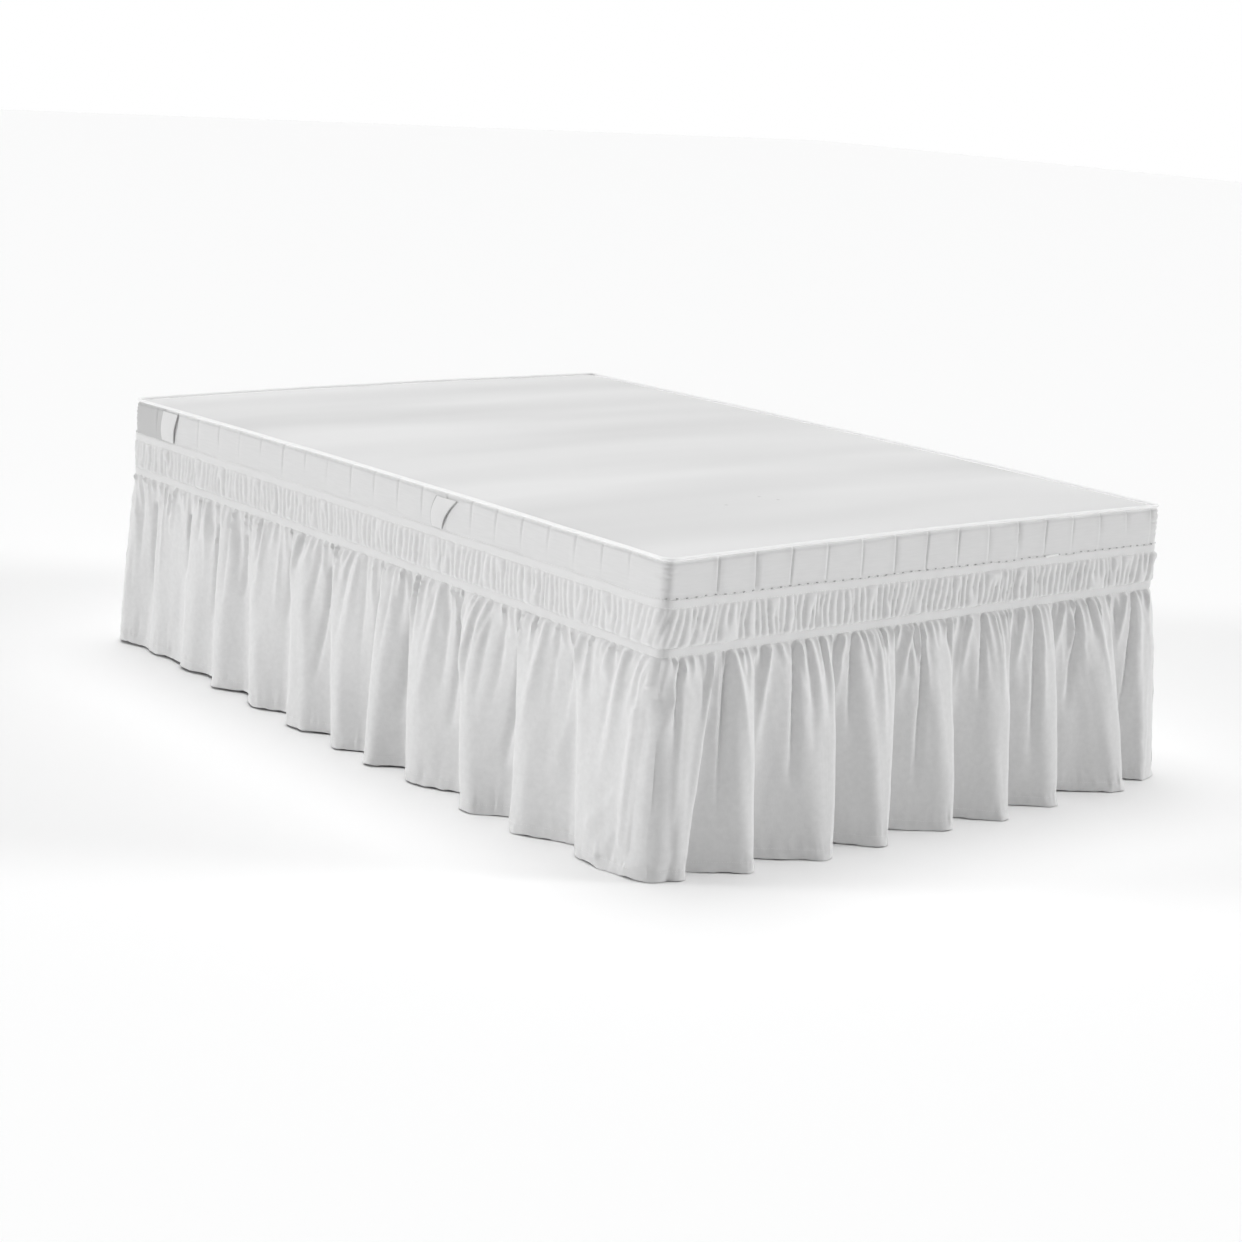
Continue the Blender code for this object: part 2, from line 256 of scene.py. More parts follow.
# How far the hem's edge rises and sags: height, cell along it and seed
HEM_SAGS = ((0.0010, 0.09, 7), (0.0012, 0.017, 11), (0.0006, 0.007, 12))

Side = namedtuple("Side", "name along half_length face folds pleats left_out right_out seed")


def mirrored_folds(folds):
    return tuple(
        Fold(-f.valley_at, f.valley_out, -f.crest_at, f.crest_out, f.crest_width,
             -f.valley_top, -f.inner_top, -f.outer_top)
        for f in reversed(folds)
    )


def mirrored_pleats(pleats):
    return tuple(Pleat(-p.top_at, -p.end_at, *p[2:]) for p in pleats)


SIDES = (
    Side("foot", (1, 0), BED_WIDTH / 2, BED_LENGTH / 2,
         FOOT_FOLDS, FOOT_PLEATS, FRONT_LEFT_OUT, FRONT_RIGHT_OUT, 11),
    Side("right", (0, 1), BED_LENGTH / 2, BED_WIDTH / 2, mirrored_folds(LEFT_FOLDS),
         mirrored_pleats(LEFT_PLEATS), FRONT_RIGHT_OUT, BACK_RIGHT_OUT, 12),
    Side("head", (-1, 0), BED_WIDTH / 2, BED_LENGTH / 2, mirrored_folds(FOOT_FOLDS),
         mirrored_pleats(FOOT_PLEATS), BACK_RIGHT_OUT, BACK_LEFT_OUT, 13),
    Side("left", (0, -1), BED_LENGTH / 2, BED_WIDTH / 2,
         LEFT_FOLDS, LEFT_PLEATS, BACK_LEFT_OUT, FRONT_LEFT_OUT, 14),
)
HALF_TURN_LENGTH = CORNER_RADIUS * math.pi / 4


# Lines and reliefs


def seam_at(side):
    """Where a side's length of cloth ends: the middle of the corner's turn."""
    return side.half_length - CORNER_RADIUS + HALF_TURN_LENGTH


def running_total(steps):
    return np.concatenate([[0], np.cumsum(steps)])


SIDE_STARTS = running_total([2 * seam_at(side) for side in SIDES])
GIRTH = SIDE_STARTS[-1]


def plan_points(side, at, out):
    """Plan positions `at` along a side and `out` from the mattress, round its corners too."""
    at, out = np.broadcast_arrays(np.asarray(at, float), np.asarray(out, float))
    straight = side.half_length - CORNER_RADIUS
    along = np.clip(at, -straight, straight)
    turn = (at - along) / CORNER_RADIUS
    run = np.array(side.along, float)
    outward = np.array((run[1], -run[0]))
    centre = along[..., None] * run + (side.face - CORNER_RADIUS) * outward
    direction = np.cos(turn)[..., None] * outward + np.sin(turn)[..., None] * run
    return centre + direction * (CORNER_RADIUS + out)[..., None]


def girth_line(spacing):
    """(side number, place along it) once round the bed, from the front left seam."""
    numbers, places = [], []
    for number, side in enumerate(SIDES):
        end = seam_at(side)
        count = round(2 * end / spacing)
        numbers += [number] * count
        places += list(np.linspace(-end, end, count, endpoint=False))
    return np.array(numbers), np.array(places)


def around(numbers, places, out):
    """Plan points for places on the four sides, `out` from the mattress."""
    out = np.broadcast_to(out, np.broadcast_shapes(np.shape(out), places.shape))
    points = np.zeros((*out.shape, 2))
    for number, side in enumerate(SIDES):
        on_side = numbers == number
        points[..., on_side, :] = plan_points(side, places[on_side], out[..., on_side])
    return points


def round_bed(numbers, places):
    """How far round the bed each place is from the front left seam."""
    return places + np.array([SIDE_STARTS[n] + seam_at(SIDES[n]) for n in numbers])


def along_foot_or_head(side):
    return side.along[0] != 0


def leftward(x):
    return np.clip((BED_WIDTH / 2 - x) / BED_WIDTH, 0, 1)


def footward(y):
    return np.clip((BED_LENGTH / 2 - y) / BED_LENGTH, 0, 1)


def band_rise(points):
    return CORNER_RISE * leftward(points[..., 0]) * footward(points[..., 1])


def top_rise(points):
    """How far the mattress's top edge rises between its corners and at its head end."""
    across = np.cos(np.clip(points[..., 0] / BED_WIDTH, -0.5, 0.5) * math.pi)
    along = np.cos(np.clip(points[..., 1] / BED_LENGTH, -0.5, 0.5) * math.pi)
    to_head = 1 - footward(points[..., 1])
    to_right = points[..., 0] / (BED_WIDTH / 2)
    return EDGE_CROWN * np.hypot(across, along) + to_head * (HEAD_RISE + HEAD_RIGHT_RISE * to_right)


def hem_rise(points):
    return HEM_RISE * leftward(points[..., 0]) * (1 - footward(points[..., 1]))


def ease(share):
    share = np.clip(share, 0.0, 1.0)
    return share * share * (3 - 2 * share)


def bell(away, width):
    """1 in the middle and close to 0 past twice the width."""
    return np.exp(-((away / width) ** 2))


def soft_noise(a, b, cell_a, cell_b, seed):
    """Smooth unevenness from -1 to 1 over a surface, in cells of the given size."""
    a, b = np.broadcast_arrays(np.asarray(a, float) / cell_a, np.asarray(b, float) / cell_b)
    low_a, low_b = np.floor(a.min()), np.floor(b.min())
    wide, tall = int(np.floor(a.max()) - low_a) + 3, int(np.floor(b.max()) - low_b) + 3
    values = np.random.default_rng(seed).uniform(-1, 1, (wide, tall))
    i, j = np.floor(a - low_a).astype(int), np.floor(b - low_b).astype(int)
    u, v = ease(a - low_a - i), ease(b - low_b - j)
    return ((values[i, j] * (1 - u) + values[i + 1, j] * u) * (1 - v)
            + (values[i, j + 1] * (1 - u) + values[i + 1, j + 1] * u) * v)


def line_noise(a, cell, seed):
    """Smooth unevenness from -1 to 1 along a line."""
    return soft_noise(a, 0 * a, cell, 1.0, seed)


def rounded_line(corners, reaches, steps):
    """A line through rounded corners, with the same number of points for any such corners."""
    nearly_half = 0.46
    corners = np.asarray(corners, float)
    line = [corners[0]]
    for k in range(1, len(corners) - 1):
        before, here, after = corners[k - 1], corners[k], corners[k + 1]
        back, on = before - here, after - here
        reach_back = min(reaches[k], nearly_half * np.linalg.norm(back))
        reach_on = min(reaches[k], nearly_half * np.linalg.norm(on))
        start = here + back / np.linalg.norm(back) * reach_back
        stop = here + on / np.linalg.norm(on) * reach_on
        for share in np.linspace(0, 1, steps):
            line.append((1 - share) ** 2 * start + 2 * share * (1 - share) * here
                        + share**2 * stop)
    line.append(corners[-1])
    return np.array(line)


def hem_corners(side, depth):
    """The folds' corners as (along, out, reach); depth is 0 at the band and 1 at the hem."""
    end = seam_at(side)
    bend = 0.020 if along_foot_or_head(side) else 0.030
    rows = [(-end, side.left_out, 0.0), (-end + SEAM_FLAT, side.left_out, 0.004)]
    top = 1.0 - depth
    for fold in side.folds:
        sign = math.copysign(1.0, fold.crest_at - fold.valley_at)
        inner = fold.crest_at - sign * fold.crest_width / 2
        outer = fold.crest_at + sign * fold.crest_width / 2
        valley = fold.valley_at + top * (fold.valley_top - fold.valley_at)
        inner += top * (fold.inner_top - inner)
        outer += top * (fold.outer_top - outer)
        corners = [(valley, fold.valley_out, bend), (inner, fold.crest_out, 0.016),
                   (outer, fold.crest_out * 0.97, 0.013)]
        rows += corners if sign > 0 else corners[::-1]
    rows += [(end - SEAM_FLAT, side.right_out, 0.004), (end, side.right_out, 0.0)]
    return rows


# Meshes


def add_object(name, data):
    made = bpy.data.objects.new(name, data)
    bpy.context.scene.collection.objects.link(made)
    return made


def add_mesh(name, verts, faces, material, smooth=60):
    """A piece of four-sided faces; edges sharper than `smooth` degrees stay sharp."""
    mesh = bpy.data.meshes.new(name)
    faces = np.asarray(faces, np.int32)
    mesh.vertices.add(len(verts))
    mesh.vertices.foreach_set("co", np.asarray(verts, np.float32).ravel())
    mesh.loops.add(faces.size)
    mesh.loops.foreach_set("vertex_index", faces.ravel())
    mesh.polygons.add(len(faces))
    mesh.polygons.foreach_set("loop_start", np.arange(len(faces), dtype=np.int32) * 4)
    mesh.polygons.foreach_set("loop_total", np.full(len(faces), 4, np.int32))
    mesh.update(calc_edges=True)
    mesh.validate()
    mesh.shade_smooth()
    mesh.set_sharp_from_angle(angle=math.radians(smooth))
    mesh.materials.append(material)
    return add_object(name, mesh)


def stand(plan, height):
    """Plan points and their heights, as points in space."""
    return np.concatenate([plan, height[..., None]], axis=-1)


def grid_normals(points, loop):
    """Outward unit normals of a grid whose columns run to the right and whose rows run down."""
    if loop:
        across = np.roll(points, -1, 1) - np.roll(points, 1, 1)
    else:
        across = np.gradient(points, axis=1)
    normals = np.cross(np.gradient(points, axis=0), across)
    return normals / np.maximum(np.linalg.norm(normals, axis=2, keepdims=True), 1e-12)


def shell(name, points, thickness, material, loop=False, uv=None, smooth=60):
    """A closed sheet: `points` is its outer face, rows down by columns to the right."""
    rows, columns = points.shape[:2]
    thickness = np.broadcast_to(thickness, (rows, columns))[..., None]
    inner = points - grid_normals(points, loop) * thickness
    inner[..., 2] = np.maximum(inner[..., 2], FLOOR_GAP)
    index = np.arange(rows * columns).reshape(rows, columns)
    if loop:
        index = np.concatenate([index, index[:, :1]], axis=1)
    shift = rows * columns
    a, b = index[:-1, :-1].ravel(), index[1:, :-1].ravel()
    c, d = index[1:, 1:].ravel(), index[:-1, 1:].ravel()
    faces = [np.stack([a, b, c, d], 1), np.stack([a, d, c, b], 1) + shift]

    def strip(edge):
        front, back = edge[:-1], edge[1:]
        faces.append(np.stack([front, back, back + shift, front + shift], 1))

    strip(index[0])
    strip(index[-1][::-1])
    if not loop:
        strip(index[::-1, 0])
        strip(index[:, -1])
    verts = np.concatenate([points.reshape(-1, 3), inner.reshape(-1, 3)])
    faces = np.concatenate(faces)
    piece = add_mesh(name, verts, faces, material, smooth)
    if uv is not None:
        across, down = np.broadcast_arrays(*uv)
        flat = np.stack([across.ravel(), down.ravel()], 1)
        flat = np.concatenate([flat, flat]).astype(np.float32)
        layer = piece.data.uv_layers.new(name="cut")
        layer.data.foreach_set("uv", flat[faces.ravel()].ravel())
    return piece


# Finishes


def add_node(tree, kind, values=None, **settings):
    """A node with its settings; each value is a constant or another node's output."""
    node = tree.nodes.new(kind)
    for key, value in settings.items():
        setattr(node, key, value)
    for key, value in (values or {}).items():
        if isinstance(value, bpy.types.NodeSocket):
            tree.links.new(value, node.inputs[key])
        else:
            node.inputs[key].default_value = value
    return node


def rgba(tint):
    """A grey's one shade, or a colour's three parts, as a full colour."""
    return (*(tint if isinstance(tint, tuple) else (tint, tint, tint)), 1)


class Finish:
    """A cloth, cord or plastic finish, put together node by node."""

    def __init__(self, name, tint, roughness, sheen=0.0):
        self.material = bpy.data.materials.new(name)
        self.material.use_nodes = True
        self.tree = self.material.node_tree
        self.shader = self.tree.nodes["Principled BSDF"]
        self.shader.inputs["Base Color"].default_value = rgba(tint)
        self.shader.inputs["Roughness"].default_value = roughness
        self.shader.inputs["Sheen Weight"].default_value = sheen
        self.shader.inputs["Sheen Roughness"].default_value = 0.6
        self.shader.inputs["Specular IOR Level"].default_value = 0.25
        self.normal = None

    def node(self, kind, values=None, **settings):
        return add_node(self.tree, kind, values, **settings)

    def place(self, scale=(1, 1, 1), uv=None, turn=0.0):
        """Where a point is, on the piece itself or on its cut cloth."""
        if uv:
            source = self.node("ShaderNodeUVMap", uv_map=uv).outputs["UV"]
        else:
            source = self.node("ShaderNodeTexCoord").outputs["Object"]
        return self.node("ShaderNodeMapping", {
            "Vector": source, "Scale": scale, "Rotation": (0, 0, turn),
        }).outputs["Vector"]

    def noise(self, place, scale, detail=2.0, roughness=0.5):
        return self.node("ShaderNodeTexNoise", {
            "Vector": place, "Scale": scale, "Detail": detail, "Roughness": roughness,
        }).outputs["Fac"]

    def wave(self, place, scale, distortion=0.0, direction="X"):
        return self.node("ShaderNodeTexWave", {
            "Vector": place, "Scale": scale, "Distortion": distortion, "Detail": 1.0,
            "Detail Scale": 1.5,
        }, bands_direction=direction).outputs["Fac"]

    def between(self, value, start, stop, most=1.0):
        """How far a value has gone from start to stop, as 0 up to `most`."""
        return self.node("ShaderNodeMapRange", {
            "Value": value, "From Min": start, "From Max": stop, "To Max": most,
        }).outputs["Result"]

    def blend(self, factor, low, high, start=0.3, stop=0.7):
        """A colour between two, set by a pattern."""
        ramp = self.node("ShaderNodeValToRGB", {"Fac": factor})
        for element, tint, at in zip(ramp.color_ramp.elements, (low, high), (start, stop)):
            element.color = rgba(tint)
            element.position = at
        return ramp.outputs["Color"]

    def over(self, base, factor, shade):
        """A flat shade laid over a colour where the factor is 1."""
        mix = self.node("ShaderNodeMix", {"Factor": factor, 6: base, 7: rgba(shade)},
                        data_type="RGBA")
        return mix.outputs[2]

    def colour(self, socket):
        self.tree.links.new(socket, self.shader.inputs["Base Color"])

    def bump(self, height, distance, strength=1.0):
        values = {"Height": height, "Distance": distance, "Strength": strength}
        if self.normal:
            values["Normal"] = self.normal
        self.normal = self.node("ShaderNodeBump", values).outputs["Normal"]
        self.tree.links.new(self.normal, self.shader.inputs["Normal"])

    def weave(self, place, scale, distortion):
        """The fine threads of a plain cloth, both ways."""
        for direction in ("X", "Y"):
            self.bump(self.wave(place, scale, distortion, direction), 0.00006, 0.5)


def skirt_cloth():
    """Brushed microfibre: a fine plain weave under a soft nap."""
    finish = Finish("skirt_cloth", 0.75, 0.85, 0.2)
    nap = finish.noise(finish.place(), 90.0, 3.0)
    finish.colour(finish.blend(nap, 0.70, 0.74))
    finish.weave(finish.place(uv="cut"), 330.0, 0.4)
    finish.bump(finish.noise(finish.place((1, 1, 0.3)), 420.0), 0.0002, 0.6)
    return finish.material


def ticking():
    """The mattress's top: painted sheen and shade in broad soft streaks, and its small marks."""
    finish = Finish("ticking", 0.70, 0.75, 0.15)
    body = finish.place()
    # Painted sheen and shade: broad streaks of lighter and darker colour run across the top.
    painted_sheen_streaks = finish.noise(finish.place((0.18, 1, 1), turn=0.12), 3.6, 2.0, 0.45)
    shade = finish.blend(painted_sheen_streaks, 0.665, 0.765, 0.34, 0.66)
    plan = finish.place((1, 1, 0))
    for spot in SPOTS:
        away = finish.node("ShaderNodeVectorMath", {0: plan, 1: spot}, operation="DISTANCE")
        mark = finish.between(away.outputs["Value"], SPOT_REACH, SPOT_CORE, 0.7)
        shade = finish.over(shade, mark, 0.45)
    finish.colour(shade)
    finish.weave(body, 300.0, 0.3)
    finish.bump(finish.noise(body, 300.0), 0.0002, 0.5)
    return finish.material


def border_cloth():
    """The border's slubbed cloth, with painted shade past the left side's second handle."""
    finish = Finish("border_cloth", 0.71, 0.8, 0.2)
    body = finish.place()
    slub = finish.noise(finish.place((0.10, 0.10, 1)), 260.0, 3.0)
    # Painted shade: the left side's border is darker from its second handle to the head end.
    at = finish.node("ShaderNodeSeparateXYZ", {"Vector": body})
    by_handle = finish.between(at.outputs["Y"], 0.805, 0.815)
    on_left = finish.between(at.outputs["X"], -0.674, -0.680)
    painted_shade_patch = finish.node("ShaderNodeMath", {0: by_handle, 1: on_left}, operation="MULTIPLY")
    plain = finish.blend(slub, 0.69, 0.715)
    finish.colour(finish.over(plain, painted_shade_patch.outputs["Value"], 0.53))
    finish.bump(slub, 0.0002, 0.5)
    finish.bump(finish.wave(body, 300.0, 0.5, "Z"), 0.00006, 0.5)
    finish.bump(finish.noise(body, 350.0), 0.0002, 0.6)
    return finish.material


def elastic():
    """Woven elastic: fine ribs along its length, crossed by the rubber's short ribs."""
    finish = Finish("elastic", 0.77, 0.7, 0.1)
    cut = finish.place(uv="cut")
    ribs = finish.wave(cut, 190.0, 0.2, "Y")
    finish.colour(finish.blend(ribs, 0.725, 0.765))
    finish.bump(ribs, 0.00025, 0.7)
    finish.bump(finish.wave(cut, 130.0, 1.0, "X"), 0.0001, 0.5)
    return finish.material


def cord_cover():
    finish = Finish("piping_cord", 0.90, 0.55, 0.1)
    finish.bump(finish.wave(finish.place(), 260.0, 0.3, "DIAGONAL"), 0.0001, 0.6)
    return finish.material


def webbing():
    """Ribbed webbing, with a line of painted shadow along each edge."""
    finish = Finish("handle_webbing", 0.75, 0.7, 0.15)
    cut = finish.place(uv="cut")
    ribs = finish.wave(cut, 120.0, 0.3, "X")
    across = finish.node("ShaderNodeSeparateXYZ", {"Vector": cut}).outputs["X"]
    shade = finish.blend(ribs, 0.71, 0.77)
    # Painted shadow: a dark line along each edge of the strap, wider on one edge.
    for start, stop in ((0.0322, 0.0330), (-0.0304, -0.0312)):
        shade = finish.over(shade, finish.between(across, start, stop), 0.46)
    finish.colour(shade)
    finish.bump(ribs, 0.0002, 0.7)
    finish.bump(finish.wave(cut, 200.0, 0.3, "Y"), 0.0001, 0.5)
    return finish.material


def thread(shade):
    finish = Finish("thread", shade, 0.6, 0.1)
    finish.bump(finish.noise(finish.place(), 900.0), 0.0001, 0.5)
    return finish.material


def base_cover():
    finish = Finish("base_cover", (0.62, 0.62, 0.61), 0.9, 0.1)
    body = finish.place()
    felt = finish.noise(body, 240.0, 3.0)
    finish.colour(finish.blend(felt, (0.58, 0.58, 0.57), (0.66, 0.66, 0.65)))
    finish.bump(finish.noise(body, 500.0), 0.0004, 0.6)
    return finish.material


def moulded_plastic():
    finish = Finish("foot_plastic", 0.05, 0.45)
    finish.bump(finish.noise(finish.place(), 700.0), 0.0001, 0.4)
    return finish.material


# The drop


def random_gathers(side):
    """The short gathers just under the band, leaning towards the crest that they feed."""
    chance = np.random.default_rng(side.seed)
    end = seam_at(side)
    crests = np.array([(f.inner_top + f.outer_top) / 2 for f in side.folds])
    taken = np.array([p.top_at for p in side.pleats])
    gathers = []
    at = -end + 0.010
    while at < end - 0.006:
        crest = crests[np.argmin(np.abs(crests - at))]
        reach = chance.choice(GATHER_REACHES, p=GATHER_CHANCES)
        reach *= chance.uniform(0.8, 1.25)
        lean = (crest - at) * chance.uniform(0.1, 0.5) + chance.uniform(-0.006, 0.006)
        lean = float(np.clip(lean, -0.030, 0.030)) * min(1.0, reach / 0.14)
        if np.min(np.abs(taken - at)) > 0.009:
            gathers.append(Pleat(at, at + lean, reach, chance.uniform(*GATHER_HEIGHTS),
                                 chance.uniform(*GATHER_WIDTHS)))
        at += GATHER_PITCH * chance.uniform(0.65, 1.35)
    return gathers


def random_dents(side):
    """The deeper hollows between some of the gathers, shaped like drops."""
    chance = np.random.default_rng(side.seed + 30)
    end = seam_at(side)
    deeper = 1.25 if along_foot_or_head(side) else 1.6
    dents = []
    at = -end + 0.020
    while at < end - 0.015:
        reach = chance.uniform(0.07, 0.22)
        dents.append(Pleat(at, at + chance.uniform(-0.012, 0.012), reach,
                           deeper * chance.uniform(0.003, 0.0075),
                           chance.uniform(0.0045, 0.0070)))
        at += chance.uniform(0.034, 0.070)
    for fold in side.folds:
        sign = math.copysign(1.0, fold.crest_at - fold.valley_at)
        at = fold.inner_top - sign * chance.uniform(0.001, 0.007)
        dents.append(Pleat(at, at - sign * chance.uniform(0.008, 0.026),
                           chance.uniform(0.16, 0.34), deeper * chance.uniform(0.0110, 0.0150),
                           chance.uniform(0.0042, 0.0056)))
    return dents


def pleat_relief(at, depth, pleats, seed, widen=1.1, fade=0.85):
    """How far the pleats stand out; depth is measured down from the band's lower edge."""
    relief = np.zeros_like(at)
    down = depth[:, 0]
    chance = np.random.default_rng(seed)
    for pleat in pleats:
        share = np.clip(down / pleat.reach, 0, 1)
        sway = chance.uniform(-0.002, 0.002) * np.sin(share * chance.uniform(3, 7))
        centre = pleat.top_at + (pleat.end_at - pleat.top_at) * share**0.8 + sway
        height = pleat.height * ease((down + 0.004) / 0.010) * (1 - share) ** fade
        width = pleat.width * (1 + widen * share)
        away = np.abs(at - centre[:, None]) / width[:, None]
        relief = np.maximum(relief, height[:, None] * np.exp(-(away**1.7)))
    return relief


def clear_of_seams(side, at):
    """0 at a seam, where the cloth lies flat, and 1 away from it."""
    return ease((seam_at(side) - np.abs(at)) / SEAM_FLAT)


def gathered_relief(side, at, depth):
    """The pleats and gathers under the band, with the hollows between them."""
    inside = clear_of_seams(side, at)
    pleats = pleat_relief(at, depth, side.pleats, side.seed + 1)
    gathers = pleat_relief(at, depth, random_gathers(side), side.seed + 2) * inside
    dents = pleat_relief(at, depth, random_dents(side), side.seed + 20, 0.5, 0.6) * inside
    return np.maximum(pleats, gathers) - dents * np.clip(1 - pleats / 0.006, 0, 1)


def uneven_relief(side, at, cut, depth):
    """The cloth's soft waves and crumples, which start below the band."""
    by_band = bell(depth, 0.14)
    relief = 0
    for wave in CLOTH_WAVES:
        rise = soft_noise(cut + wave.lean * depth, depth, wave.along, wave.down,
                          side.seed + wave.seed)
        relief = relief + (wave.height + wave.by_band * by_band) * rise
    return ease(depth / 0.05) * clear_of_seams(side, at) * relief


def wrinkle_relief(past, depth, flip):
    relief = np.zeros_like(past)
    for (start, top), (stop, bottom), height, width in CORNER_WRINKLES:
        across, down = flip * past - start, depth - top
        run, fall = stop - start, bottom - top
        share = np.clip((across * run + down * fall) / (run * run + fall * fall), 0, 1)
        relief += height * bell(np.hypot(across - share * run, down - share * fall), width)
    return relief


def corner_relief(side, at, depth):
    """The crumples and wrinkles beside the seams, and the seams' own dents."""
    relief = np.zeros_like(at)
    end = seam_at(side)
    number = SIDES.index(side)
    for corner, past in ((number, at + end), ((number + 1) % 4, at - end)):
        steep = soft_noise(past + 0.10 * depth, depth, 0.013, 0.110, 80 + corner)
        crossed = soft_noise(past - 0.6 * depth, depth, 0.015, 0.060, 84 + corner)
        under_band = ease(depth / 0.02)
        relief += bell(past, 0.060) * under_band * (0.0016 * steep + 0.0010 * crossed)
        wrinkles = wrinkle_relief(past, depth, -1 if corner % 2 else 1)
        relief += CORNER_SHARES[corner] * wrinkles * ease((depth + 0.002) / 0.010)
        relief -= 0.0010 * bell(past, 0.0075) * under_band
    return relief


def hem_relief(side, cut, depth, low, hemmed):
    """The puckers along the hem's stitches, its second layer and its turning edge."""
    pucker = soft_noise(cut, depth, 0.0055, 0.040, side.seed + 6)
    turning = ease((depth - (low - 0.014)) / 0.014)
    return (0.0019 * pucker * bell(depth - (low - HEM_DEPTH), 0.014) + 0.0007 * hemmed
            + 0.0038 * turning * line_noise(cut, 0.022, side.seed + 10))


def fold_line(side, depth, swayed=False):
    """The folds' line as (along, out); depth is 0 at the band and 1 at the hem."""
    corners = hem_corners(side, depth)
    points = [(at, out) for at, out, _ in corners]
    if swayed:
        chance = np.random.default_rng(side.seed + 50)
        sway = 0.007 if along_foot_or_head(side) else 0.012
        points = [(at + chance.uniform(-sway, sway) * (2 < k < len(points) - 3),
                   out + chance.uniform(-0.006, 0.008) * (1 < k < len(points) - 2))
                  for k, (at, out) in enumerate(points)]
    return rounded_line(points, [reach for _, _, reach in corners], 9)


def fold_columns(side):
    """The cloth's columns: each one's place on the cut cloth and at three depths."""
    lines = fold_line(side, 1.0), fold_line(side, MIDDLE_DEPTH, True), fold_line(side, 0.0)
    hem_steps = np.linalg.norm(np.diff(lines[0], axis=0), axis=1)
    top_steps = np.abs(np.diff(lines[2][:, 0]))
    run = running_total(hem_steps)
    shares = running_total(np.maximum(hem_steps, 1.7 * top_steps))
    columns = DROP_COLUMNS if side.name in ("foot", "left") else BACK_COLUMNS
    order = np.arange(len(run))
    pick = np.interp(np.linspace(0, shares[-1], columns), shares, order)
    places = [[np.interp(pick, order, line[:, k]) for k in (0, 1)] for line in lines]
    return np.interp(pick, order, run), places, float(run[-1])


def make_drop(side, material, stitches):
    """One side's length of the gathered drop, with its folds, gathers, seams and hem."""
    low = LOWER_BAND_BOTTOM - HEM_HEIGHT
    hem_top = low - HEM_DEPTH
    down = np.concatenate([
        [-0.0085, -0.0045, -0.0015], np.linspace(0.0, 0.10, 24, endpoint=False),
        np.linspace(0.10, hem_top - 0.006, 20, endpoint=False),
        hem_top + np.array([-0.006, -0.003, -0.001, 0.0006, 0.003, 0.008, 0.014]),
        [low - 0.0015, low],
    ])
    depth = down[:, None]
    share = np.clip(depth / low, 0, 1)
    cut, ((at_hem, out_hem), (at_middle, out_middle), (at_top, _)), length = fold_columns(side)
    at = ((1 - share) ** 2 * at_top + 2 * share * (1 - share) * at_middle
          + share**2 * at_hem)
    at = np.maximum.accumulate(at, axis=1) + np.arange(len(cut)) * 1e-7
    swell = ((share + 0.01) ** SWELL - 0.01**SWELL) / (1.01**SWELL - 0.01**SWELL)
    out = CLOTH_OUT + swell * (out_middle + (out_hem - out_middle) * ease(share) - CLOTH_OUT)

    hemmed = ease((depth - hem_top) / 0.002)
    out += gathered_relief(side, at, depth)
    out += uneven_relief(side, at, cut, depth)
    out += corner_relief(side, at, depth)
    out += hem_relief(side, cut, depth, low, hemmed)
    out = np.where(depth < 0, np.minimum(out, CLOTH_OUT + 0.0002), out)
    out = np.maximum(out, np.where(depth > 0.05, -0.006, 0.0016))
    out[:, [0, -1]] -= 0.0003
    end = seam_at(side) + 0.0008
    at[:, 0], at[:, -1] = -end, end

    plan = plan_points(side, at, out)
    height = LOWER_BAND_BOTTOM - depth + swell * hem_rise(plan)
    sag = sum(size * line_noise(cut, cell, side.seed + seed) for size, cell, seed in HEM_SAGS)
    height = np.maximum(height + (sag + 0.0006) * share**3, HEM_LOWEST)
    points = stand(plan, height)
    piece = shell(f"skirt_drop_{side.name}", points, CLOTH_THICKNESS + HEM_EXTRA * hemmed,
                  material, uv=(cut[None, :], depth))
    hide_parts(f"drop_{side.name}")
    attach(piece, "root")
    row = int(np.argmin(np.abs(down - (hem_top + 0.003))))
    normals = grid_normals(points, False)
    stitches.append((points[row, 3:-3] + normals[row, 3:-3] * 0.0001, normals[row, 3:-3]))


# The belt


